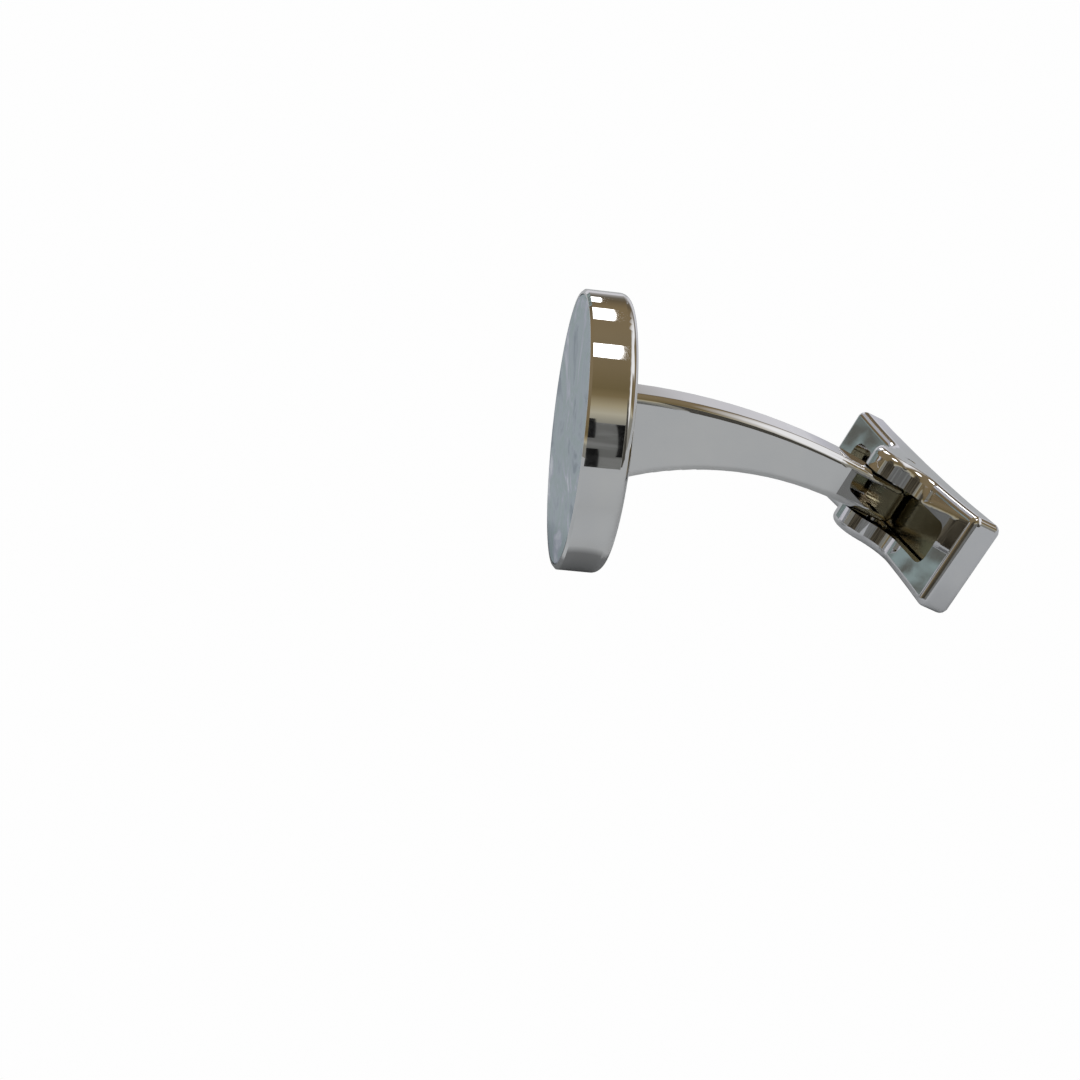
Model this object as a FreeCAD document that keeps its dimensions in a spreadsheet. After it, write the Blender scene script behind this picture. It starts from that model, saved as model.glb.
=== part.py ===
"""A round cufflink: a head with an inlaid face, a curved arm and a swinging toggle.

All sizes are in millimetres. The pieces are drawn in the link frame: origin at the centre
of the head's back face, X along the head's axis towards the toggle, Z up. The toggle, its
pin and its spring are drawn about the pin: X outwards, Y along the toggle, Z along the pin.
At the end everything is laid on the floor as it rests: head rim and two toggle corners.
"""
import FreeCAD, Part
import math
import os
import Sketcher

Vec = FreeCAD.Vector
DOC = FreeCAD.newDocument("cufflink")
SHEET = DOC.addObject("Spreadsheet::Sheet", "Sizes")

SIZES = {
    # head
    "head_diameter": 17.0,
    "head_thickness": 2.8,
    "head_back_round": 0.6,
    "head_front_bevel": 0.15,
    "bezel_wall": 0.3,
    "inlay_thickness": 1.1,
    "inlay_edge_bevel": 0.05,
    "inlay_fit": 0.03,
    "bed_thickness": 0.1,
    "socket_diameter": 1.8,
    "socket_depth": 0.8,
    "socket_fit": 0.02,
    # arm
    "foot_top": 3.05,
    "foot_drop": 2.65,
    "solder_leg": 0.2,
    "pin_reach": 17.72,
    "pin_drop": 2.32,
    "arm_dip_deg": 20.9,
    "arm_under_radius": 20.0,
    "arm_thickness": 3.0,
    "arm_edge_round": 0.5,
    "tongue_length": 4.0,
    "tongue_blend": 6.0,
    "knuckle_height": 2.66,
    "knuckle_radius": 0.95,
    # toggle
    "toggle_length": 17.65,
    "toggle_width": 6.25,
    "toggle_outer_reach": 2.18,
    "toggle_end_thickness": 2.05,
    "toggle_crown": 0.45,
    "toggle_waist": 0.3,
    "toggle_corner_round": 0.5,
    "toggle_edge_round": 0.5,
    "toggle_turn_deg": 8.1,
    "lug_radius": 1.8,
    "lug_set_back": 0.5,
    "flank_radius": 1.9,
    "end_block_length": 2.1,
    "slot_side_clearance": 0.08,
    "slot_corner_round": 0.7,
    # pin and spring
    "pin_diameter": 0.8,
    "pin_running_fit": 0.02,
    "pin_end_inset": 0.02,
    "spring_thickness": 0.2,
    "spring_bow": 0.3,
    "spring_crest_clearance": 0.05,
    "spring_floor_clearance": 0.01,
    "spring_side_gap": 0.1,
    "spring_end_gap": 0.35,
    "spring_corner_round": 0.6,
}
# sizes worked out from the sheet
RECESS_DEPTH = "inlay_thickness + bed_thickness"
KNUCKLE_OVERRUN = "knuckle_radius * 3 / 2"
LUG_REACH = "lug_radius + lug_set_back"
PLAN_REACH = "pin_reach * 5 / 4"
PLAN_SIDE = "arm_thickness * 3 / 2"
FLANK_SHARE = 0.1
SOLDER_SLOPE_DEG = -50
CROWN_RADIUS = "( ( toggle_length / 2 ) ^ 2 + toggle_crown ^ 2 ) / ( 2 * toggle_crown )"
WAIST_RADIUS = "( ( toggle_length / 2 ) ^ 2 + toggle_waist ^ 2 ) / ( 2 * toggle_waist )"
WAIST_REACH = "( toggle_length / 2 + toggle_corner_round )"
SPRING_REACH = "( toggle_length / 2 - end_block_length - spring_end_gap )"
SPRING_RADIUS = "( ( " + SPRING_REACH + " ^ 2 + spring_bow ^ 2 ) / ( 2 * spring_bow ) )"
SLOT_FLOOR = ("knuckle_radius + spring_crest_clearance + spring_bow"
              " + spring_thickness + spring_floor_clearance")


def fill_sheet():
    """One cell for each size, with its name as the alias."""
    for row, (name, value) in enumerate(SIZES.items(), start=1):
        SHEET.set("A%d" % row, name)
        SHEET.set("B%d" % row, str(value))
        SHEET.setAlias("B%d" % row, name)
    DOC.recompute()


def size(name):
    return float(SHEET.get(name))


def value(formula):
    """A sheet formula's number, worked out by the sheet itself."""
    SHEET.set("D1", "=" + formula)
    SHEET.recompute()
    return float(SHEET.get("D1"))


def cells(formula):
    """The formula with each size name turned into its sheet cell."""
    words = formula.replace("(", " ( ").replace(")", " ) ").split()
    return " ".join("Sizes." + w if w in SIZES else w for w in words)


def new_body(label):
    body = DOC.addObject("PartDesign::Body", label)
    body.Label = label
    return body


def new_sketch(body, role, name):
    sketch = body.newObject("Sketcher::SketchObject", name)
    plane = [o for o in body.Origin.OriginFeatures if o.Role == role][0]
    sketch.AttachmentSupport = (plane, [""])
    sketch.MapMode = "FlatFace"
    return sketch


def bind(sketch, kind, where, formula, start):
    """A dimension on the sketch, bound to the sheet."""
    index = sketch.addConstraint(Sketcher.Constraint(kind, *where, start))
    sketch.setExpression("Constraints[%d]" % index, cells(formula))


def join_chain(sketch, links, smooth):
    """Joins a closed run of (edge, its last point); the joints listed in `smooth` are tangent."""
    for k, (edge, last) in enumerate(links):
        following, its_last = links[(k + 1) % len(links)]
        kind = "Tangent" if k in smooth else "Coincident"
        sketch.addConstraint(Sketcher.Constraint(kind, edge, last, following, 3 - its_last))


def add_feature(body, kind, name, profile, **settings):
    feature = body.newObject("PartDesign::" + kind, name)
    feature.Profile = profile
    for key, value in settings.items():
        setattr(feature, key, value)
    return feature


def round_edges(body, name, formula, chosen):
    """Rounds those edges of the body's tip for which chosen(edge) is true."""
    DOC.recompute()
    tip = body.Tip
    names = ["Edge%d" % (k + 1) for k, e in enumerate(tip.Shape.Edges) if chosen(e)]
    fillet = body.newObject("PartDesign::Fillet", name)
    fillet.Base = (tip, names)
    fillet.setExpression("Radius", cells(formula))
    return fillet


def rounded_box(sketch, half_wide, below, above, corner):
    """A rounded rectangle about the origin; each argument is a formula of the sheet."""
    a, b, c, r = (value(f) for f in (half_wide, below, above, corner))
    ends = [(Vec(r - a, -b), Vec(a - r, -b)), (Vec(a, r - b), Vec(a, c - r)),
            (Vec(a - r, c), Vec(r - a, c)), (Vec(-a, c - r), Vec(-a, r - b))]
    middles = [Vec(a - r, r - b), Vec(a - r, c - r), Vec(r - a, c - r), Vec(r - a, r - b)]
    links = []
    for k in range(4):
        links.append((sketch.addGeometry(Part.LineSegment(*ends[k])), 2))
        turn = (k - 1) * math.pi / 2
        circle = Part.Circle(middles[k], Vec(0, 0, 1), r)
        arc = Part.ArcOfCircle(circle, turn, turn + math.pi / 2)
        links.append((sketch.addGeometry(arc), 2))
    join_chain(sketch, links, range(8))
    for k, kind in ((0, "Horizontal"), (2, "Vertical"), (4, "Horizontal"), (6, "Vertical")):
        sketch.addConstraint(Sketcher.Constraint(kind, k))
    for k in (3, 5, 7):
        sketch.addConstraint(Sketcher.Constraint("Equal", 1, k))
    bind(sketch, "Radius", (1,), corner, r)
    bind(sketch, "DistanceX", (-1, 1, 2, 1), half_wide, a)
    bind(sketch, "DistanceX", (6, 1, -1, 1), half_wide, a)
    bind(sketch, "DistanceY", (0, 1, -1, 1), below, b)
    bind(sketch, "DistanceY", (-1, 1, 4, 1), above, c)


def centred_circle(sketch, formula):
    """A circle about the sketch's origin, with its diameter from the sheet."""
    circle = Part.Circle(Vec(0, 0, 0), Vec(0, 0, 1), value(formula) / 2)
    edge = sketch.addGeometry(circle)
    sketch.addConstraint(Sketcher.Constraint("Coincident", edge, 3, -1, 1))
    bind(sketch, "Diameter", (edge,), formula, value(formula))


def make_head_cup():
    """A turned cup: recess at the front, socket for the arm at the back."""
    body = new_body("head_cup")
    sketch = new_sketch(body, "XZ_Plane", "cup_section")
    rim = size("head_diameter") / 2
    front = -size("head_thickness")
    floor = front + value(RECESS_DEPTH)
    wall = rim - size("bezel_wall")
    hole = size("socket_diameter") / 2
    deep = -size("socket_depth")
    back_round = size("head_back_round")
    bevel = size("head_front_bevel")
    corners = [Vec(floor, 0), Vec(deep, 0), Vec(deep, hole), Vec(0, hole), Vec(0, rim - back_round),
               Vec(-back_round, rim), Vec(front + bevel, rim), Vec(front, rim - bevel),
               Vec(front, wall), Vec(floor, wall)]
    turned = Part.Circle(Vec(-back_round, rim - back_round), Vec(0, 0, 1), back_round)
    links = []
    for k, corner in enumerate(corners):
        edge = Part.LineSegment(corner, corners[(k + 1) % len(corners)])
        if k == 4:
            edge = Part.ArcOfCircle(turned, 0, math.pi / 2)
        links.append((sketch.addGeometry(edge), 2))
    join_chain(sketch, links, (3, 4))
    for k in (0, 2, 5, 8):
        sketch.addConstraint(Sketcher.Constraint("Horizontal", k))
    for k in (1, 3, 7, 9):
        sketch.addConstraint(Sketcher.Constraint("Vertical", k))
    sketch.addConstraint(Sketcher.Constraint("PointOnObject", 0, 1, -1))
    sketch.addConstraint(Sketcher.Constraint("PointOnObject", 2, 2, -2))
    bind(sketch, "DistanceX", (7, 1, -1, 1), "head_thickness", -front)
    bind(sketch, "DistanceX", (7, 1, 0, 1), RECESS_DEPTH, floor - front)
    bind(sketch, "DistanceX", (1, 1, -1, 1), "socket_depth", -deep)
    bind(sketch, "DistanceY", (-1, 1, 2, 1), "socket_diameter / 2", hole)
    bind(sketch, "DistanceY", (-1, 1, 5, 1), "head_diameter / 2", rim)
    bind(sketch, "DistanceY", (8, 1, 5, 1), "bezel_wall", rim - wall)
    bind(sketch, "Radius", (4,), "head_back_round", back_round)
    bind(sketch, "DistanceX", (6, 2, 6, 1), "head_front_bevel", bevel)
    bind(sketch, "DistanceY", (6, 2, 6, 1), "head_front_bevel", bevel)
    axis = [o for o in body.Origin.OriginFeatures if o.Role == "X_Axis"][0]
    add_feature(body, "Revolution", "cup_turned", sketch, ReferenceAxis=(axis, [""]), Angle=360)
    return body


def make_face_inlay():
    """The disc that fills the front, flush with the wall, its front edge just broken."""
    body = new_body("face_inlay")
    sketch = new_sketch(body, "YZ_Plane", "inlay_outline")
    sketch.setExpression("AttachmentOffset.Base.z", cells("0 - head_thickness"))
    centred_circle(sketch, "head_diameter - 2 * ( bezel_wall + inlay_fit )")
    pad = add_feature(body, "Pad", "inlay_blank", sketch)
    pad.setExpression("Length", cells("inlay_thickness"))
    DOC.recompute()
    front = -size("head_thickness")
    ring = min(range(len(pad.Shape.Edges)), key=lambda k: abs(pad.Shape.Edges[k].CenterOfMass.x - front))
    bevel = body.newObject("PartDesign::Chamfer", "inlay_bevel")
    bevel.Base = (pad, ["Edge%d" % (ring + 1)])
    bevel.setExpression("Size", cells("inlay_edge_bevel"))
    return body


def make_inlay_bed():
    """The cement layer between the recess floor and the inlay."""
    body = new_body("inlay_bed")
    sketch = new_sketch(body, "YZ_Plane", "bed_outline")
    sketch.setExpression("AttachmentOffset.Base.z", cells("inlay_thickness - head_thickness"))
    centred_circle(sketch, "head_diameter - 2 * ( bezel_wall + inlay_fit )")
    pad = add_feature(body, "Pad", "bed_layer", sketch)
    pad.setExpression("Length", cells("bed_thickness"))
    return body


def draw_arm_side(sketch):
    """The arm from the side: one long arc on top; below, an arc and the knuckle's flat."""
    top = size("foot_top")
    drop = size("foot_drop")
    dip = math.radians(size("arm_dip_deg"))
    along = Vec(math.cos(dip), -math.sin(dip))
    across = Vec(math.sin(dip), math.cos(dip))
    pin = Vec(size("pin_reach"), -size("pin_drop"))
    half = across * (size("knuckle_height") / 2)
    over = value(KNUCKLE_OVERRUN)
    lug_reach = value(LUG_REACH)
    crest = pin + half - along * lug_reach
    fall = top - crest.y
    top_radius = (crest.x ** 2 + fall ** 2) / (2 * fall)
    top_middle = Vec(0, top - top_radius)
    tip_angle = math.acos((pin.x + over) / top_radius)
    tip = top_middle + Vec(math.cos(tip_angle), math.sin(tip_angle)) * top_radius
    under_radius = size("arm_under_radius")
    gap = pin - half - across * under_radius - Vec(0, -drop)
    swing = gap.dot(along) - math.sqrt(gap.dot(along) ** 2 - gap.dot(gap) + under_radius ** 2)
    joint = pin - half - along * swing
    under_middle = joint - across * under_radius
    heel = Vec(0, -drop) - under_middle
    end = pin - half + along * over
    sketch.addGeometry(Part.LineSegment(Vec(0, -drop), Vec(0, top)))
    top_circle = Part.Circle(top_middle, Vec(0, 0, 1), top_radius)
    sketch.addGeometry(Part.ArcOfCircle(top_circle, tip_angle, math.pi / 2))
    sketch.addGeometry(Part.LineSegment(tip, end))
    sketch.addGeometry(Part.LineSegment(end, joint))
    under_circle = Part.Circle(under_middle, Vec(0, 0, 1), under_radius)
    arc = Part.ArcOfCircle(under_circle, math.pi / 2 - dip, math.atan2(heel.y, heel.x))
    sketch.addGeometry(arc)
    sketch.addGeometry(Part.LineSegment(pin - half, pin + half), True)
    sketch.addGeometry(Part.Point(pin), True)
    sketch.addGeometry(Part.LineSegment(pin + half, crest), True)
    join_chain(sketch, [(0, 2), (1, 1), (2, 2), (3, 2), (4, 2)], (3,))
    sketch.addConstraint(Sketcher.Constraint("Coincident", 5, 2, 7, 1))
    sketch.addConstraint(Sketcher.Constraint("Perpendicular", 7, 5))
    for where in ((0, 1, -2), (0, 2, -2), (1, 3, -2), (5, 1, 3), (7, 2, 1)):
        sketch.addConstraint(Sketcher.Constraint("PointOnObject", *where))
    sketch.addConstraint(Sketcher.Constraint("Symmetric", 5, 1, 5, 2, 6, 1))
    sketch.addConstraint(Sketcher.Constraint("Perpendicular", 3, 5))
    sketch.addConstraint(Sketcher.Constraint("Parallel", 2, 5))
    bind(sketch, "DistanceY", (-1, 1, 0, 2), "foot_top", top)
    bind(sketch, "DistanceY", (0, 1, -1, 1), "foot_drop", drop)
    bind(sketch, "DistanceX", (-1, 1, 6, 1), "pin_reach", pin.x)
    bind(sketch, "DistanceY", (6, 1, -1, 1), "pin_drop", -pin.y)
    bind(sketch, "Distance", (5,), "knuckle_height", 2 * half.Length)
    bind(sketch, "Angle", (5,), "90 - arm_dip_deg", math.pi / 2 - dip)
    bind(sketch, "Distance", (7,), LUG_REACH, lug_reach)
    bind(sketch, "Radius", (4,), "arm_under_radius", under_radius)
    bind(sketch, "Distance", (6, 1, 2), KNUCKLE_OVERRUN, over)


def draw_arm_plan(sketch):
    """What is cut away beside the arm, seen along the pin: a frame around its outline.

    The arm has even sides as far as the tongue, which tapers to the round knuckle.
    """
    radius = size("knuckle_radius")
    blend = size("tongue_blend")
    long = value(PLAN_REACH)
    side = value(PLAN_SIDE)
    root = Vec(-size("tongue_length"), size("arm_thickness") / 2)
    turn = math.pi - math.atan2(root.y, -root.x) - math.acos(radius / root.Length)
    swing = math.pi / 2 - turn
    cut = blend * math.tan(swing / 2)
    touch = Vec(math.cos(turn), math.sin(turn)) * radius
    near = root + (touch - root).normalize() * cut
    start = root - Vec(cut, 0)
    far = Vec(-long, root.y)
    centre = start - Vec(0, blend)
    low = [Vec(v.x, -v.y) for v in (far, start, centre, near, touch)]
    bends = [Part.Circle(middle, Vec(0, 0, 1), blend) for middle in (low[2], centre)]
    knuckle = Part.Circle(Vec(0, 0, 0), Vec(0, 0, 1), radius)
    outline = [Part.LineSegment(low[0], low[1]),
               Part.ArcOfCircle(bends[0], -math.pi / 2, swing - math.pi / 2),
               Part.LineSegment(low[3], low[4]),
               Part.ArcOfCircle(knuckle, -turn, turn),
               Part.LineSegment(touch, near),
               Part.ArcOfCircle(bends[1], math.pi / 2 - swing, math.pi / 2),
               Part.LineSegment(start, far),
               Part.LineSegment(far, low[0])]
    for edge in outline:
        sketch.addGeometry(edge)
    join_chain(sketch, [(k, 2) for k in range(8)], range(6))
    frame = [Vec(-long - side, -side), Vec(side, -side), Vec(side, side), Vec(-long - side, side)]
    for k in range(4):
        sketch.addGeometry(Part.LineSegment(frame[k], frame[(k + 1) % 4]))
    join_chain(sketch, [(8, 2), (9, 2), (10, 2), (11, 2)], ())
    sketch.addGeometry(Part.Point(root), True)
    for edge in (0, 6, 8, 10):
        sketch.addConstraint(Sketcher.Constraint("Horizontal", edge))
    for edge in (9, 11):
        sketch.addConstraint(Sketcher.Constraint("Vertical", edge))
    sketch.addConstraint(Sketcher.Constraint("Coincident", 3, 3, -1, 1))
    for below, above in ((0, 6), (2, 4)):
        sketch.addConstraint(Sketcher.Constraint("Symmetric", below, 1, above, 2, -1))
    for edge in (4, 6):
        sketch.addConstraint(Sketcher.Constraint("PointOnObject", 12, 1, edge))
    bind(sketch, "Radius", (3,), "knuckle_radius", radius)
    bind(sketch, "Radius", (5,), "tongue_blend", blend)
    bind(sketch, "DistanceX", (12, 1, -1, 1), "tongue_length", -root.x)
    bind(sketch, "DistanceY", (-1, 1, 12, 1), "arm_thickness / 2", root.y)
    bind(sketch, "DistanceX", (6, 2, -1, 1), PLAN_REACH, long)
    bind(sketch, "DistanceX", (8, 1, 6, 2), PLAN_SIDE, side)
    bind(sketch, "DistanceX", (-1, 1, 8, 2), PLAN_SIDE, side)
    bind(sketch, "DistanceY", (8, 1, -1, 1), PLAN_SIDE, side)
    bind(sketch, "DistanceY", (-1, 1, 10, 1), PLAN_SIDE, side)


def make_arm():
    """The curved bar: tapered from the foot to a round knuckle, edges eased, spigot, pin bore."""
    body = new_body("arm")
    side = new_sketch(body, "XZ_Plane", "arm_side")
    draw_arm_side(side)
    pad = add_feature(body, "Pad", "arm_blank", side, SideType="Symmetric")
    pad.setExpression("Length", cells(PLAN_SIDE))
    plan = new_sketch(body, "XY_Plane", "arm_plan")
    at_pin(plan)
    draw_arm_plan(plan)
    add_feature(body, "Pocket", "arm_taper", plan, Type="ThroughAll", SideType="Symmetric")
    across = DIP.multVec(Vec(0, 0, 1))

    def is_skirt(face):
        u0, u1, v0, v1 = face.ParameterRange
        return abs(face.normalAt((u0 + u1) / 2, (v0 + v1) / 2).dot(across)) < FLANK_SHARE

    def is_long(edge):
        flanks = [f for f in body.Tip.Shape.Faces if is_skirt(f)]
        beside = [f for f in flanks if any(edge.isSame(e) for e in f.Edges)]
        return len(beside) == 1 and edge.BoundBox.XMax > size("solder_leg")

    round_edges(body, "arm_eased", "arm_edge_round", is_long)
    foot = new_sketch(body, "YZ_Plane", "spigot_outline")
    centred_circle(foot, "socket_diameter - 2 * socket_fit")
    spigot = add_feature(body, "Pad", "spigot", foot, Reversed=True)
    spigot.setExpression("Length", cells("socket_depth - socket_fit"))
    bore = new_sketch(body, "XY_Plane", "bore_outline")
    at_pin(bore)
    centred_circle(bore, "pin_diameter + 2 * pin_running_fit")
    add_feature(body, "Pocket", "pin_bore", bore, Type="ThroughAll", SideType="Symmetric")
    return body


def at_pin(sketch):
    """Puts an arm sketch square to the pin, with its origin on the pin's axis."""
    sketch.AttachmentOffset = FreeCAD.Placement(PIN_POINT, DIP)
    sketch.setExpression("AttachmentOffset.Base.x", cells("pin_reach"))
    sketch.setExpression("AttachmentOffset.Base.z", cells("0 - pin_drop"))
    sketch.setExpression("AttachmentOffset.Rotation.Angle", cells("arm_dip_deg"))


def make_solder(arm):
    """A sloping bead around the foot, cut to the arm's own shape."""
    blank = new_body("solder_blank")
    sketch = new_sketch(blank, "YZ_Plane", "solder_outline")
    rounded_box(sketch, "arm_thickness / 2 + solder_leg", "foot_drop + solder_leg",
                "foot_top + solder_leg", "arm_edge_round + solder_leg")
    pad = add_feature(blank, "Pad", "solder_slope", sketch, TaperAngle=SOLDER_SLOPE_DEG)
    pad.setExpression("Length", cells("solder_leg"))
    cut = DOC.addObject("Part::Cut", "solder_fillet")
    cut.Base = blank
    cut.Tool = arm
    return blank, cut


def draw_toggle_side(sketch):
    """The toggle seen along the pin: crowned outside, round lug and hollow flanks inside."""
    half = size("toggle_length") / 2
    outer = size("toggle_outer_reach")
    level = outer - size("toggle_end_thickness")
    crown = size("toggle_crown")
    back = (half ** 2 + crown ** 2) / (2 * crown)
    middle = outer + crown - back
    corner = size("toggle_corner_round")
    lug = size("lug_radius")
    flank = size("flank_radius")
    back_off = size("lug_set_back")
    hollow = math.sqrt((lug + flank) ** 2 - (level + back_off - flank) ** 2)
    dip = math.atan2(hollow, level + back_off - flank)
    blend = half - corner
    sweep = math.asin(blend / (back - corner))
    round_x = middle + (back - corner) * math.cos(sweep)

    def arc(x, y, radius, start, stop):
        circle = Part.Circle(Vec(x, y), Vec(0, 0, 1), radius)
        return sketch.addGeometry(Part.ArcOfCircle(circle, start, stop))

    quarter = math.pi / 2
    arc(middle, 0, back, -sweep, sweep)
    arc(round_x, blend, corner, sweep, quarter)
    sketch.addGeometry(Part.LineSegment(Vec(round_x, half), Vec(level + corner, half)))
    arc(level + corner, blend, corner, quarter, 2 * quarter)
    sketch.addGeometry(Part.LineSegment(Vec(level, blend), Vec(level, hollow)))
    arc(level - flank, hollow, flank, dip - 2 * quarter, 0)
    arc(-back_off, 0, lug, dip, 4 * quarter - dip)
    arc(level - flank, -hollow, flank, 0, 2 * quarter - dip)
    sketch.addGeometry(Part.LineSegment(Vec(level, -hollow), Vec(level, -blend)))
    arc(level + corner, -blend, corner, 2 * quarter, 3 * quarter)
    sketch.addGeometry(Part.LineSegment(Vec(level + corner, -half), Vec(round_x, -half)))
    arc(round_x, -blend, corner, -quarter, -sweep)
    ends = [2, 2, 2, 2, 2, 1, 2, 1, 2, 2, 2, 2]
    join_chain(sketch, list(enumerate(ends)), range(12))
    for kind, edge in (("Horizontal", 2), ("Horizontal", 10), ("Vertical", 4), ("Vertical", 8)):
        sketch.addConstraint(Sketcher.Constraint(kind, edge))
    for edge in (0, 6):
        sketch.addConstraint(Sketcher.Constraint("PointOnObject", edge, 3, -1))
    for first, other in ((1, 3), (1, 9), (1, 11), (5, 7)):
        sketch.addConstraint(Sketcher.Constraint("Equal", first, other))
    bind(sketch, "Radius", (1,), "toggle_corner_round", corner)
    bind(sketch, "Radius", (5,), "flank_radius", flank)
    bind(sketch, "Radius", (6,), "lug_radius", lug)
    bind(sketch, "DistanceX", (6, 3, -1, 1), "lug_set_back", back_off)
    bind(sketch, "Radius", (0,), CROWN_RADIUS, back)
    bind(sketch, "DistanceX", (0, 3, -1, 1), CROWN_RADIUS + " - toggle_outer_reach - toggle_crown", -middle)
    bind(sketch, "DistanceY", (-1, 1, 2, 1), "toggle_length / 2", half)
    bind(sketch, "DistanceY", (10, 1, -1, 1), "toggle_length / 2", half)
    bind(sketch, "DistanceX", (-1, 1, 4, 1), "toggle_outer_reach - toggle_end_thickness", level)
    bind(sketch, "DistanceX", (-1, 1, 8, 1), "toggle_outer_reach - toggle_end_thickness", level)


def draw_waist(sketch, sign):
    """The shallow hollow in one long side of the toggle."""
    radius = value(WAIST_RADIUS)
    reach = value(WAIST_REACH)
    middle = value("toggle_width / 2 - toggle_waist") + radius
    rise = middle - math.sqrt(radius ** 2 - reach ** 2)
    ends = [Vec(-reach, sign * rise), Vec(reach, sign * rise)]
    circle = Part.Circle(Vec(0, sign * middle), Vec(0, 0, 1), radius)
    turn = math.asin(reach / radius)
    start = math.pi * (1.5 if sign > 0 else 0.5)
    arc = sketch.addGeometry(Part.ArcOfCircle(circle, start - turn, start + turn))
    chord = sketch.addGeometry(Part.LineSegment(*ends[::-1 if sign > 0 else 1]))
    join_chain(sketch, [(arc, 2), (chord, 2)], ())
    sketch.addConstraint(Sketcher.Constraint("Horizontal", chord))
    sketch.addConstraint(Sketcher.Constraint("PointOnObject", arc, 3, -2))
    bind(sketch, "Radius", (arc,), WAIST_RADIUS, radius)
    bind(sketch, "Distance", (chord,), WAIST_REACH + " * 2", 2 * reach)
    level = (-1, 1, arc, 3) if sign > 0 else (arc, 3, -1, 1)
    bind(sketch, "DistanceY", level, "toggle_width / 2 - toggle_waist + " + WAIST_RADIUS, middle)


def make_toggle_body():
    """The bar: side outline, waisted, edges rounded, then the pocket and the pin hole."""
    body = new_body("toggle_body")
    side = new_sketch(body, "XY_Plane", "toggle_side")
    draw_toggle_side(side)
    pad = add_feature(body, "Pad", "toggle_blank", side, SideType="Symmetric")
    pad.setExpression("Length", cells("toggle_width"))
    waist = new_sketch(body, "YZ_Plane", "toggle_waists")
    draw_waist(waist, 1)
    draw_waist(waist, -1)
    add_feature(body, "Pocket", "toggle_waisted", waist, Type="ThroughAll", SideType="Symmetric")
    quarter = size("toggle_width") / 4

    def on_side(edge):
        return abs(edge.valueAt((edge.FirstParameter + edge.LastParameter) / 2).z) > quarter

    round_edges(body, "toggle_rounded", "toggle_edge_round", on_side)
    slot = new_sketch(body, "YZ_Plane", "slot_outline")
    slot.setExpression("AttachmentOffset.Base.z", cells(SLOT_FLOOR))
    end = "toggle_length / 2 - end_block_length"
    wide = "knuckle_height / 2 + slot_side_clearance"
    rounded_box(slot, end, wide, wide, "slot_corner_round")
    add_feature(body, "Pocket", "slot", slot, Type="ThroughAll")
    hole = new_sketch(body, "XY_Plane", "pin_hole_outline")
    centred_circle(hole, "pin_diameter")
    add_feature(body, "Pocket", "pin_hole", hole, Type="ThroughAll", SideType="Symmetric")
    return body


def make_hinge_pin():
    """A plain pin, fast in both lugs, its ends just inside the waisted sides."""
    body = new_body("hinge_pin")
    sketch = new_sketch(body, "XY_Plane", "pin_outline")
    centred_circle(sketch, "pin_diameter")
    pad = add_feature(body, "Pad", "pin_bar", sketch, SideType="Symmetric")
    pad.setExpression("Length", cells("toggle_width - 2 * ( toggle_waist + pin_end_inset )"))
    return body


def make_detent_spring():
    """A bowed leaf: ends on the slot floor, crest at the knuckle."""
    body = new_body("detent_spring")
    sketch = new_sketch(body, "XY_Plane", "spring_bow_outline")
    inner = value(SPRING_RADIUS)
    thick = size("spring_thickness")
    middle = value("knuckle_radius + spring_crest_clearance") + inner
    turn = math.asin(value(SPRING_REACH) / inner)
    outer = inner - thick
    directions = [Vec(-math.cos(turn), y) for y in (-math.sin(turn), math.sin(turn))]
    centre = Vec(middle, 0)
    for radius in (inner, outer):
        circle = Part.Circle(centre, Vec(0, 0, 1), radius)
        sketch.addGeometry(Part.ArcOfCircle(circle, math.pi - turn, math.pi + turn))
    sketch.addGeometry(Part.LineSegment(centre + directions[0] * inner, centre + directions[0] * outer))
    sketch.addGeometry(Part.LineSegment(centre + directions[1] * outer, centre + directions[1] * inner))
    join_chain(sketch, [(0, 2), (2, 2), (1, 1), (3, 2)], ())
    sketch.addConstraint(Sketcher.Constraint("Coincident", 0, 3, 1, 3))
    sketch.addConstraint(Sketcher.Constraint("PointOnObject", 0, 3, -1))
    sketch.addConstraint(Sketcher.Constraint("Symmetric", 0, 1, 0, 2, -1))
    sketch.addConstraint(Sketcher.Constraint("Symmetric", 1, 1, 1, 2, -1))
    bind(sketch, "Radius", (0,), SPRING_RADIUS, inner)
    bind(sketch, "Radius", (1,), SPRING_RADIUS + " - spring_thickness", outer)
    bind(sketch, "DistanceX", (-1, 1, 0, 3),
         "knuckle_radius + spring_crest_clearance + " + SPRING_RADIUS, middle)
    bind(sketch, "DistanceY", (-1, 1, 0, 1), SPRING_REACH, value(SPRING_REACH))
    bind(sketch, "DistanceY", (-1, 1, 1, 1), SPRING_REACH, outer * math.sin(turn))
    pad = add_feature(body, "Pad", "spring_strip", sketch, SideType="Symmetric")
    pad.setExpression("Length", cells("knuckle_height + 2 * ( slot_side_clearance - spring_side_gap )"))
    reach = value(SPRING_REACH)
    thin = 2 * thick

    def at_corner(edge):
        return edge.Length < thin and abs(edge.CenterOfMass.y) > reach - thin

    round_edges(body, "spring_rounded", "spring_corner_round", at_corner)
    return body


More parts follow.
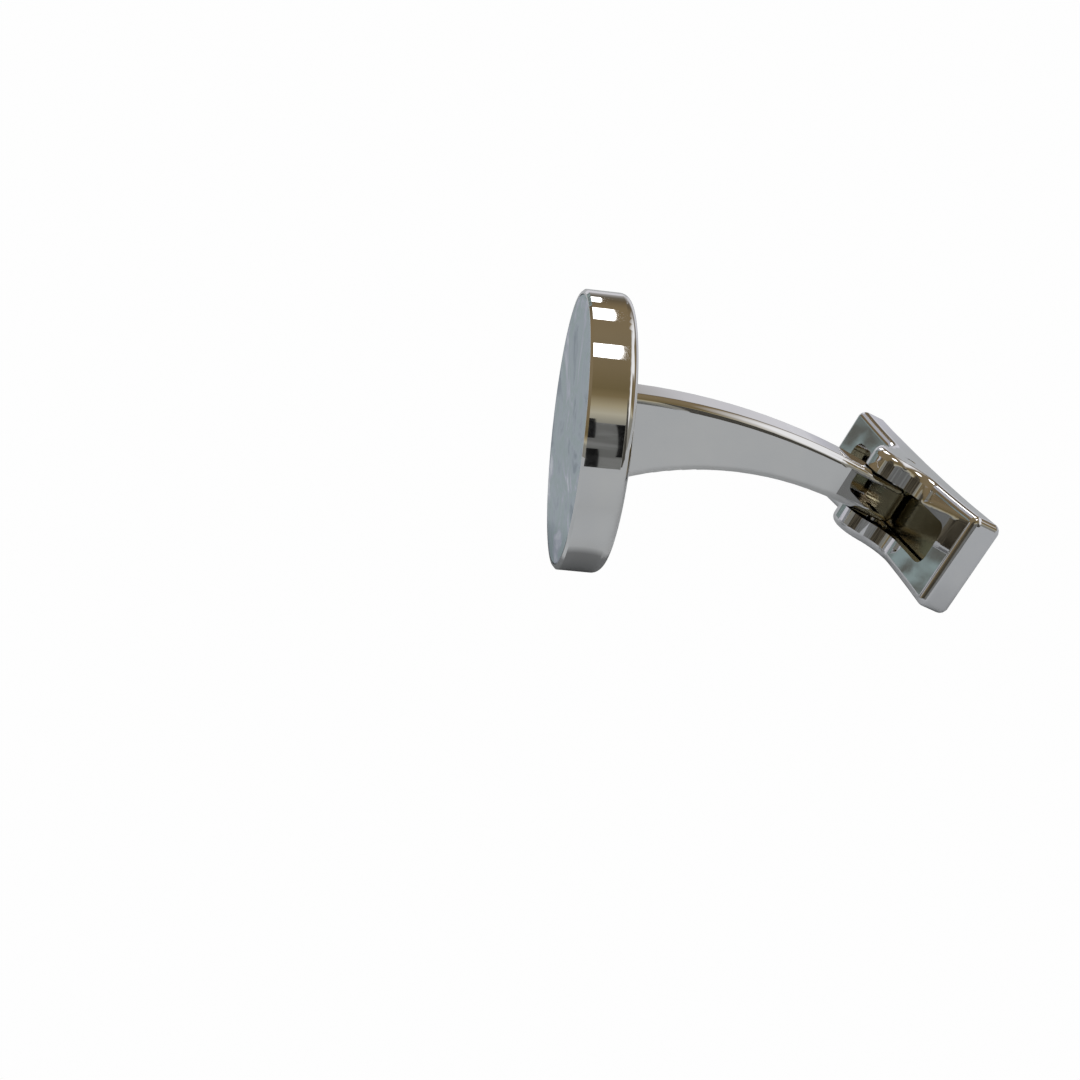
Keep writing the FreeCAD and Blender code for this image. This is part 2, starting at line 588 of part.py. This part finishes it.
def toggle_corner(down, sign):
    """The lowest point of one outer lower corner of the toggle, in the link frame."""
    corner = size("toggle_corner_round")
    ease = size("toggle_edge_round")
    half = size("toggle_length") / 2
    back = value(CROWN_RADIUS)
    blend = half - corner
    sweep = math.asin(blend / (back - corner))
    out = size("toggle_outer_reach") + size("toggle_crown") - back + (back - corner) * math.cos(sweep)
    hollow = size("toggle_waist") * (1 - (blend / half) ** 2)
    middle = Vec(out, sign * blend, hollow + ease - size("toggle_width") / 2)
    local = TURNED.Rotation.inverted().multVec(down)
    turn = max(math.atan2(sign * local.y, local.x), sweep)
    outwards = Vec(math.cos(turn), sign * math.sin(turn), 0)
    return TURNED.multVec(middle + outwards * (corner - ease) + local * ease)


def resting_up():
    """The upward direction at rest: square to the plane under the rim and two toggle corners."""
    rim_round = size("head_back_round")
    rim = size("head_diameter") / 2 - rim_round
    up = Vec(0, 0, 1)
    for _ in range(40):
        flat = Vec(0, up.y, up.z).normalize()
        rim_low = Vec(-rim_round, 0, 0) - flat * rim - up * rim_round
        near, far = (toggle_corner(-up, sign) for sign in (-1, 1))
        up = (rim_low - near).cross(far - near).normalize()
        up = up if up.z > 0 else -up
    return up


def rest_placement():
    """Turns the link so that it lies as it rests, head axis towards +X."""
    up = resting_up()
    ahead = (Vec(1, 0, 0) - up * up.x).normalize()
    left = up.cross(ahead)
    matrix = FreeCAD.Matrix(*ahead, 0, *left, 0, *up, 0, 0, 0, 0, 1)
    return FreeCAD.Placement(matrix)


fill_sheet()
PIN_POINT = Vec(size("pin_reach"), 0, -size("pin_drop"))
DIP = FreeCAD.Rotation(Vec(0, 1, 0), size("arm_dip_deg"))
TURNED = FreeCAD.Placement(PIN_POINT, DIP * FreeCAD.Rotation(Vec(0, 0, 1), size("toggle_turn_deg")))

head = [make_head_cup(), make_face_inlay(), make_inlay_bed(), make_arm()]
solder_blank, solder = make_solder(head[-1])
toggle = [make_toggle_body(), make_hinge_pin(), make_detent_spring()]
nodes = head + [solder] + toggle


def lay_down(rest):
    """Places every piece: the head's as drawn, the toggle's about the turned pin."""
    for piece in head + [solder_blank]:
        piece.Placement = rest
    for piece in toggle:
        piece.Placement = rest.multiply(TURNED)
    DOC.recompute()


rest = rest_placement()
lay_down(rest)
whole = Part.makeCompound([n.Shape for n in nodes]).optimalBoundingBox(False, False)
rest.Base = Vec(-whole.Center.x, -whole.Center.y, -whole.ZMin)
lay_down(rest)

for item in DOC.Objects:
    if {"Invalid", "Error"} & set(item.State):
        raise SystemExit("%s: %s" % (item.Label, item.State))
os.makedirs("parts", exist_ok=True)
for node in nodes:
    shape = node.Shape
    if shape.isNull() or not shape.isValid() or len(shape.Solids) != 1:
        raise SystemExit("%s is not one sound solid" % node.Label)
    shape.exportStep("parts/%s.step" % node.Label)
    box = shape.optimalBoundingBox(False, False)
    print("%-14s %9.3f mm3" % (node.Label, shape.Volume), box)
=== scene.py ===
"""A round cufflink with an inlaid face, a curved arm and a swinging bar, lying on a pale table.

Metres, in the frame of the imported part: +X from the head to the bar, +Z up, floor at Z = 0.
"""

import bpy
import numpy as np
from mathutils import Matrix, Vector

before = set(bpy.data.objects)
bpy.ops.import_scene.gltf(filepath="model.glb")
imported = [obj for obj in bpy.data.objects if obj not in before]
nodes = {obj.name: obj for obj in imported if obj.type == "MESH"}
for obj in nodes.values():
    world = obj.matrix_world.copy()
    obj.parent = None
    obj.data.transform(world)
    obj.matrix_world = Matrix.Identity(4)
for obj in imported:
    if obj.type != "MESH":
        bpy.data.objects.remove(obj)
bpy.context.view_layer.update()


# The head is a shallow cup turned from bar, with a thin wall round its front and a rounded
# back edge. It is plated and buffed to a mirror, so it shows the room more than itself.
def new_finish(name, sockets):
    """A material whose main shader has the given sockets set: the material, its tree, the shader."""
    material = bpy.data.materials.new(name)
    material.use_nodes = True
    shader = material.node_tree.nodes["Principled BSDF"]
    for socket, amount in sockets.items():
        shader.inputs[socket].default_value = amount
    return material, material.node_tree, shader


def add_step(tree, kind, sockets=None, **modes):
    """A node of the given kind: its modes are set first, then its sockets by name or place."""
    step = tree.nodes.new("ShaderNode" + kind)
    for mode, choice in modes.items():
        setattr(step, mode, choice)
    for socket, amount in (sockets or {}).items():
        step.inputs[socket].default_value = amount
    return step


def add_tones(tree, stops):
    """A colour ramp with one stop for each pair of a place, from 0 to 1, and a linear colour."""
    tones = add_step(tree, "ValToRGB")
    ramp = tones.color_ramp.elements
    ramp.remove(ramp[1])
    for k, (where, colour) in enumerate(stops):
        stop = ramp[0] if k == 0 else ramp.new(where)
        stop.position = where
        stop.color = (*colour, 1)
    return tones


def wire(tree, *runs):
    """Joins steps: each run names a step, its output, the step that follows and its socket."""
    for step, output, following, socket in runs:
        tree.links.new(step.outputs[output], following.inputs[socket])


CLOUD_SCALE, MARK_SCALE, WAVE_SCALE = 420.0, 2600.0, 330.0
WAVE_DEEP = 0.00002


def buffed_plate(name, colour, warm, roughness, haze):
    """Mirror plate: soft clouds in the tint, fine marks in the roughness, faint waves from the buff."""
    material, tree, shader = new_finish(name, {"Metallic": 1.0})
    place = add_step(tree, "TexCoord")
    clouds = add_step(tree, "TexNoise", {"Scale": CLOUD_SCALE, "Detail": 3.0})
    tint = add_tones(tree, [(0.3, colour), (0.7, warm)])
    marks = add_step(tree, "TexNoise", {"Scale": MARK_SCALE, "Detail": 4.0, "Distortion": 1.5})
    spread = add_step(tree, "MapRange", {"From Min": 0.35, "From Max": 0.75,
                                         "To Min": roughness, "To Max": haze})
    waves = add_step(tree, "TexNoise", {"Scale": WAVE_SCALE, "Detail": 1.0})
    swell = add_step(tree, "Bump", {"Strength": 0.3, "Distance": WAVE_DEEP})
    wire(tree, (place, "Object", clouds, "Vector"), (clouds, "Fac", tint, "Fac"),
         (tint, "Color", shader, "Base Color"),
         (place, "Object", marks, "Vector"), (marks, "Fac", spread, "Value"),
         (spread, "Result", shader, "Roughness"),
         (place, "Object", waves, "Vector"), (waves, "Fac", swell, "Height"),
         (swell, "Normal", shader, "Normal"))
    return material


def dress(node, material):
    """Gives a CAD node its finish, in place of the flat one it was packed with."""
    nodes[node].data.materials.clear()
    nodes[node].data.materials.append(material)


dress("head_cup", buffed_plate("head_plate", (0.86, 0.862, 0.868), (0.9, 0.895, 0.885), 0.02, 0.032))


# The inlay is a thin disc of pale shell, ground flat and polished, set flush in the cup.
# Its layers run across the disc as soft blue-grey, lilac and sea-green clouds.
LAYER_SCALE, LAYER_TURN = (260.0, 125.0, 210.0), (0.2, 0.0, 0.0)
SLATE, BLUE_GREY, SEA_GREEN = (0.17, 0.23, 0.29), (0.36, 0.43, 0.49), (0.29, 0.39, 0.40)
LILAC, PALE_BLUE = (0.43, 0.46, 0.56), (0.70, 0.75, 0.80)


def shell_layers(name):
    """Shell: stretched, bent noise picks the layer's hue, and a clear polish lies over it."""
    material, tree, shader = new_finish(name, {"Roughness": 0.3, "Specular IOR Level": 0.25,
                                               "Coat Weight": 0.12, "Coat Roughness": 0.04})
    place = add_step(tree, "TexCoord")
    stretch = add_step(tree, "Mapping", {"Rotation": LAYER_TURN, "Scale": LAYER_SCALE})
    layers = add_step(tree, "TexNoise", {"Scale": 1.0, "Detail": 8.0, "Roughness": 0.64, "Distortion": 0.9})
    hues = add_tones(tree, [(0.36, SLATE), (0.44, BLUE_GREY), (0.49, SEA_GREEN),
                            (0.54, LILAC), (0.62, PALE_BLUE)])
    wire(tree, (place, "Object", stretch, "Vector"), (stretch, "Vector", layers, "Vector"),
         (layers, "Fac", hues, "Fac"), (hues, "Color", shader, "Base Color"))
    return material


dress("face_inlay", shell_layers("inlay_shell"))


# The bed is the layer of cement that holds the inlay in the cup. It is cream and dull, and it
# shows only where the two are taken apart.
def blotched(name, sockets, scale, stops):
    """A dull finish in the tones of the given stops, picked by plain noise."""
    material, tree, shader = new_finish(name, sockets)
    place = add_step(tree, "TexCoord")
    blotches = add_step(tree, "TexNoise", {"Scale": scale})
    tones = add_tones(tree, stops)
    wire(tree, (place, "Object", blotches, "Vector"), (blotches, "Fac", tones, "Fac"),
         (tones, "Color", shader, "Base Color"))
    return material


GRAIN_SCALE = 4000.0
dress("inlay_bed", blotched("bed_cement", {"Roughness": 0.8}, GRAIN_SCALE,
                            [(0.0, (0.52, 0.48, 0.39)), (1.0, (0.68, 0.64, 0.55))]))


# The arm is cast and tapered, with eased edges and a round knuckle for the bar's pin. It is
# soldered to the back of the cup, and the bead is buffed over with the rest.
dress("arm", buffed_plate("arm_plate", (0.86, 0.862, 0.866), (0.9, 0.896, 0.888), 0.022, 0.04))
dress("solder_fillet", buffed_plate("solder_plate", (0.82, 0.82, 0.82), (0.87, 0.865, 0.855), 0.06, 0.12))


# The bar swings on a pin pressed through its lugs, its ends all but flush. A bowed leaf of spring
# steel lies in its slot and grips the knuckle, darker, yellower and rougher than the plate.
dress("toggle_body", buffed_plate("bar_plate", (0.83, 0.836, 0.862), (0.875, 0.875, 0.885), 0.022, 0.04))
dress("hinge_pin", buffed_plate("pin_plate", (0.8, 0.8, 0.8), (0.86, 0.855, 0.85), 0.05, 0.12))
dress("detent_spring", buffed_plate("spring_strip", (0.25, 0.225, 0.14), (0.36, 0.322, 0.205), 0.15, 0.22))


# The table is a sheet of paper, grey round the link and paler behind the bar, with a painted shade under
# the head and a painted lighter ring round it. Only the metal sees it: the camera looks through it at the
# white room.
def sheet_of(name, corners):
    """One four-cornered face through the given points."""
    mesh = bpy.data.meshes.new(name)
    mesh.from_pydata([tuple(c) for c in corners], [], [(0, 1, 2, 3)])
    sheet = bpy.data.objects.new(name, mesh)
    bpy.context.scene.collection.objects.link(sheet)
    return sheet


TABLE_REACH = 0.6
table = sheet_of("table", [(-TABLE_REACH, -TABLE_REACH, 0), (TABLE_REACH, -TABLE_REACH, 0),
                           (TABLE_REACH, TABLE_REACH, 0), (-TABLE_REACH, TABLE_REACH, 0)])
table_paper, paper, paper_shader = new_finish("table_paper", {"Roughness": 0.9, "Specular IOR Level": 0.1})
paper_place = add_step(paper, "TexCoord")

# Paler behind the bar: the tone changes along Y from PALE_FROM to PALE_TO, and only on the right
# of a line that leans by PALE_LEAN and has a soft edge PALE_EDGE wide.
PALE_FROM, PALE_TO, PALE_LEAN, PALE_EDGE = 0.045, 0.18, 0.2, 0.012
PAPER_GREY, PAPER_LILAC, PAPER_PALE = (0.435, 0.444, 0.45), (0.53, 0.525, 0.575), (0.66, 0.655, 0.69)
paper_parts = add_step(paper, "SeparateXYZ")
paper_back = add_step(paper, "MapRange", {"From Min": PALE_FROM, "From Max": PALE_TO})
paper_slant = add_step(paper, "VectorMath", {1: (1.0, -PALE_LEAN, 0.0)}, operation="DOT_PRODUCT")
paper_right = add_step(paper, "MapRange", {"From Min": 0.0, "From Max": PALE_EDGE})
paper_both = add_step(paper, "Math", operation="MULTIPLY")
paper_tones = add_tones(paper, [(0.0, PAPER_GREY), (0.35, PAPER_LILAC), (1.0, PAPER_PALE)])

# Round the head's foot, measured in half widths of an oval: a painted shade of SHADE_TONE inside it, and
# just outside it a painted lighter ring that makes up for the light that the head keeps off the paper.
FOOT_AT, FOOT_HALF = (-0.0112, -0.0003, 0.0), (0.004, 0.007, 1.0)
SHADE_TONE, SHADE_IN, SHADE_OUT = 0.43, 0.92, 1.08
PAINTED_RING_TONE, RING_IN, RING_OUT = 1.24, 1.1, 2.4
paper_foot = add_step(paper, "Mapping", {"Location": FOOT_AT, "Scale": FOOT_HALF}, vector_type="TEXTURE")
paper_off = add_step(paper, "VectorMath", operation="LENGTH")
paper_shade = add_step(paper, "MapRange", {"From Min": SHADE_IN, "From Max": SHADE_OUT,
                                           "To Min": SHADE_TONE, "To Max": 1.0})
paper_painted_light_ring = add_step(paper, "MapRange", {"From Min": RING_IN, "From Max": RING_OUT,
                                          "To Min": PAINTED_RING_TONE, "To Max": 1.0})
paper_painted_shade_and_light = add_step(paper, "Math", operation="MULTIPLY")
paper_shaded = add_step(paper, "VectorMath", operation="SCALE")
wire(paper, (paper_place, "Object", paper_parts, "Vector"), (paper_parts, "Y", paper_back, "Value"),
     (paper_place, "Object", paper_slant, 0), (paper_slant, "Value", paper_right, "Value"),
     (paper_back, "Result", paper_both, 0), (paper_right, "Result", paper_both, 1),
     (paper_both, "Value", paper_tones, "Fac"), (paper_tones, "Color", paper_shaded, 0),
     (paper_place, "Object", paper_foot, "Vector"), (paper_foot, "Vector", paper_off, 0),
     (paper_off, "Value", paper_shade, "Value"), (paper_off, "Value", paper_painted_light_ring, "Value"),
     (paper_shade, "Result", paper_painted_shade_and_light, 0), (paper_painted_light_ring, "Result", paper_painted_shade_and_light, 1),
     (paper_painted_shade_and_light, "Value", paper_shaded, "Scale"), (paper_shaded, "Vector", paper_shader, "Base Color"))
table.data.materials.append(table_paper)
table.visible_camera = False


# The room lights the link evenly. The metal sees a cream wall in front, a brown ceiling, pale
# paper low at the back, and a bright window high on the right; the camera sees it all white.
SCREEN_GAMMA = 2.2
FRONT_WALL = [(0, (128, 126, 120)), (28, (132, 130, 120)), (36, (172, 166, 148)), (42, (158, 148, 122))]
CEILING = [(50, (120, 106, 78)), (56, (108, 95, 68)), (75, (118, 104, 79)), (104, (124, 110, 86)),
           (144, (124, 108, 82)), (157, (100, 88, 70))]
BACK_WALL = [(165, (104, 98, 88)), (169, (160, 157, 156)), (173, (196, 195, 199)), (180, (208, 207, 212))]


def over_the_room(tones):
    """Ramp stops from degrees, front over the top to the back, and screen colours made linear."""
    return [(angle / 180, (np.array(shade) / 255) ** SCREEN_GAMMA) for angle, shade in tones]


room = bpy.data.worlds.new("room")
bpy.context.scene.world = room
room.use_nodes = True
air = room.node_tree
look = add_step(air, "TexCoord")
parts = add_step(air, "SeparateXYZ")
ahead = add_step(air, "Math", {1: -1.0}, operation="MULTIPLY")
rise = add_step(air, "Math", operation="ABSOLUTE")
arc = add_step(air, "Math", operation="ARCTAN2")
turn = add_step(air, "MapRange", {"From Min": 0.0, "From Max": np.pi})
walls = add_tones(air, over_the_room(FRONT_WALL + CEILING + BACK_WALL))

# The window fills a part of the room by X and Z, softly at its edges. Its far side, the jamb, is
# set back by BAY_DEEP in a bay overhead.
WINDOW_SIDE, WINDOW_SILL, WINDOW_JAMB = (0.45, 0.62), (0.25, 0.45), (0.73, 0.79)
WINDOW_LIGHT = (0.86, 0.855, 0.865, 1)
BAY_DEEP = 0.15
OPEN, SHUT = (255, 255, 255), (0, 0, 0)
window_side = add_step(air, "MapRange", {"From Min": WINDOW_SIDE[0], "From Max": WINDOW_SIDE[1]})
window_sill = add_step(air, "MapRange", {"From Min": WINDOW_SILL[0], "From Max": WINDOW_SILL[1]})
window_jamb = add_step(air, "MapRange", {"From Min": WINDOW_JAMB[0], "From Max": WINDOW_JAMB[1],
                                         "To Min": 1.0, "To Max": 0.0})
window_bay = add_tones(air, over_the_room([(80, SHUT), (90, OPEN), (112, OPEN), (122, SHUT)]))
window_reach = add_step(air, "Math", {1: -BAY_DEEP}, operation="MULTIPLY_ADD")
window_wide = add_step(air, "Math", operation="MULTIPLY")
window = add_step(air, "Math", operation="MULTIPLY")
bright = add_step(air, "Mix", {"B": WINDOW_LIGHT}, data_type="RGBA")

# What each ray sees: the metal's rays the painted room, the camera's plain white, and all other
# rays an even light.
EVEN_LIGHT, PLAIN_WHITE = (0.8, 0.805, 0.81, 1), (0.99, 0.99, 0.99, 1)
seen = add_step(air, "LightPath")
mirrored = add_step(air, "Mix", {"A": EVEN_LIGHT}, data_type="RGBA")
white = add_step(air, "Mix", {"B": PLAIN_WHITE}, data_type="RGBA")
wire(air, (look, "Generated", parts, "Vector"), (parts, "Y", ahead, 0), (parts, "Z", rise, 0),
     (rise, "Value", arc, 0), (ahead, "Value", arc, 1), (arc, "Value", turn, "Value"),
     (turn, "Result", walls, "Fac"), (walls, "Color", bright, "A"),
     (parts, "X", window_side, "Value"), (parts, "Z", window_sill, "Value"),
     (turn, "Result", window_bay, "Fac"), (window_bay, "Color", window_reach, 0),
     (parts, "X", window_reach, 2), (window_reach, "Value", window_jamb, "Value"),
     (window_side, "Result", window_wide, 0), (window_jamb, "Result", window_wide, 1),
     (window_wide, "Value", window, 0), (window_sill, "Result", window, 1),
     (window, "Value", bright, "Factor"), (bright, "Result", mirrored, "B"),
     (seen, "Is Glossy Ray", mirrored, "Factor"), (mirrored, "Result", white, "A"),
     (seen, "Is Camera Ray", white, "Factor"), (white, "Result", air.nodes["Background"], "Color"))


# Three lamps hang in a row over the table, square to the head's axis, from overhead to the
# back. They stand in the head's rim as three white patches.
HEAD_AXIS, BACK = Vector((0.9904, 0.0, -0.138)), Vector((0.0, 1.0, 0.0))
LAMP_FAR, LAMP_GLOW = 1.0, 3.0
# Each lamp's turn and spread in degrees, and its width as a share of LAMP_FAR.
LAMPS = [(89.5, 13.0, 0.2745), (130.5, 16.0, 0.259), (154.0, 11.0, 0.2375)]
overhead = HEAD_AXIS.cross(BACK)
for lamp_turn, lamp_spread, lamp_width in LAMPS:
    across = np.radians(lamp_turn)
    toward = overhead * np.sin(across) - BACK * np.cos(across)
    lamp = bpy.data.lights.new("lamp", "AREA")
    lamp.shape = "RECTANGLE"
    lamp.size = lamp_width * LAMP_FAR
    lamp.size_y = 2 * np.tan(np.radians(lamp_spread) / 2) * LAMP_FAR
    lamp.energy = LAMP_GLOW * np.pi * lamp.size * lamp.size_y
    hung = bpy.data.objects.new("lamp", lamp)
    bpy.context.scene.collection.objects.link(hung)
    hung.matrix_world = (Matrix.Translation(toward * LAMP_FAR)
                         @ Matrix((HEAD_AXIS, toward.cross(HEAD_AXIS), toward)).transposed().to_4x4())
    hung.visible_camera = False


# The camera looks down at the link from the head's side, at the photograph's distance. Its place,
# turn and lens were fitted to the outlines of head, arm and bar.
EYE_AT, EYE_TURN_DEG = Vector((-0.017604, -0.083308, 0.04244)), (63.770, 0.283, -3.102)
EYE_LENS_MM, EYE_FRAME_MM, EYE_NEAR = 49.378, 36.0, 0.002
eye = bpy.data.cameras.new("eye")
eye.lens = EYE_LENS_MM
eye.sensor_width = EYE_FRAME_MM
eye.clip_start = EYE_NEAR
stand = bpy.data.objects.new("eye", eye)
bpy.context.scene.collection.objects.link(stand)
stand.location = EYE_AT
stand.rotation_euler = [np.radians(angle) for angle in EYE_TURN_DEG]
bpy.context.scene.camera = stand
bpy.context.scene.view_settings.view_transform = "Standard"


# The camera's own grey body stands behind its lens, with a dark grip on its right and black ribs on
# its front. Only the metal sees them, as the dark band in the rim and the line along the arm.
BLOTCH_SCALE = 120.0


def shade_only(sheet, tone, other):
    """A stage sheet in soft blotches of two tones, that mirrors show and that lights nothing."""
    sheet.data.materials.append(blotched(sheet.name, {"Roughness": 0.9, "Specular IOR Level": 0.0},
                                         BLOTCH_SCALE, [(0.4, tone), (0.6, other)]))
    sheet.visible_camera = False
    sheet.visible_diffuse = False
    sheet.visible_shadow = False


def upright(name, left, right, at, low, top):
    """A sheet that stands upright across the view, at one place along Y."""
    return sheet_of(name, [(left, at, low), (right, at, low), (right, at, top), (left, at, top)])


BODY_LEFT, BODY_RIGHT, BODY_TALL, BODY_BEHIND = -0.05, 0.012, 0.055, 0.004
behind = EYE_AT.y - BODY_BEHIND
shade_only(upright("camera_body", BODY_LEFT, BODY_RIGHT, behind, 0, BODY_TALL),
           (0.18, 0.18, 0.17), (0.25, 0.25, 0.24))
GRIP_LEFT, GRIP_WIDE, GRIP_TALL, GRIP_SLANT, GRIP_TOP = 0.013, 0.049, 0.11, 0.025, 0.005
shade_only(sheet_of("camera_grip", [(GRIP_LEFT, behind, 0), (GRIP_LEFT + GRIP_WIDE, behind, 0),
                                    (GRIP_LEFT + GRIP_SLANT + GRIP_TOP, behind, GRIP_TALL),
                                    (GRIP_LEFT + GRIP_SLANT, behind, GRIP_TALL)]),
           (0.07, 0.065, 0.055), (0.11, 0.1, 0.085))
RIB_PROUD = 0.001
# Each rib's middle in X and Z, half its width, half its height, and its lean.
RIBS = [(0.0059, 0.047, 0.00056, 0.013, 0.196), (0.0001, 0.011, 0.00075, 0.0105, 0.139),
        (0.0073, 0.034, 0.0008, 0.020, 0.181)]
before = behind + RIB_PROUD
for rib_x, rib_z, rib_half, rib_tall, rib_lean in RIBS:
    foot, top = rib_x - rib_lean * rib_tall, rib_x + rib_lean * rib_tall
    shade_only(sheet_of("camera_rib", [(foot - rib_half, before, rib_z - rib_tall),
                                       (foot + rib_half, before, rib_z - rib_tall),
                                       (top + rib_half, before, rib_z + rib_tall),
                                       (top - rib_half, before, rib_z + rib_tall)]),
               (0.01, 0.01, 0.01), (0.02, 0.02, 0.02))


# A dark curtain hangs on the camera's left. A grey board stands at the back on the head's side,
# and a pale card far behind it. They show in the bar's lugs, its inner faces and its edges.
CURTAIN_LEFT, CURTAIN_RIGHT, CURTAIN_TALL = -0.3, -0.05, 0.2
shade_only(upright("curtain", CURTAIN_LEFT, CURTAIN_RIGHT, behind, 0, CURTAIN_TALL),
           (0.035, 0.029, 0.02), (0.15, 0.128, 0.09))
BOARD_LEFT, BOARD_RIGHT, BOARD_BACK, BOARD_TALL = -0.6, -0.09, 0.36, 0.16
shade_only(upright("grey_board", BOARD_LEFT, BOARD_RIGHT, BOARD_BACK, 0, BOARD_TALL),
           (0.17, 0.172, 0.15), (0.38, 0.47, 0.46))
CARD_LEFT, CARD_RIGHT, CARD_BACK, CARD_LOW, CARD_TOP = -0.6, 0.13, 1.5, 0.22, 1.2
shade_only(upright("pale_card", CARD_LEFT, CARD_RIGHT, CARD_BACK, CARD_LOW, CARD_TOP),
           (0.48, 0.475, 0.5), (0.58, 0.575, 0.6))
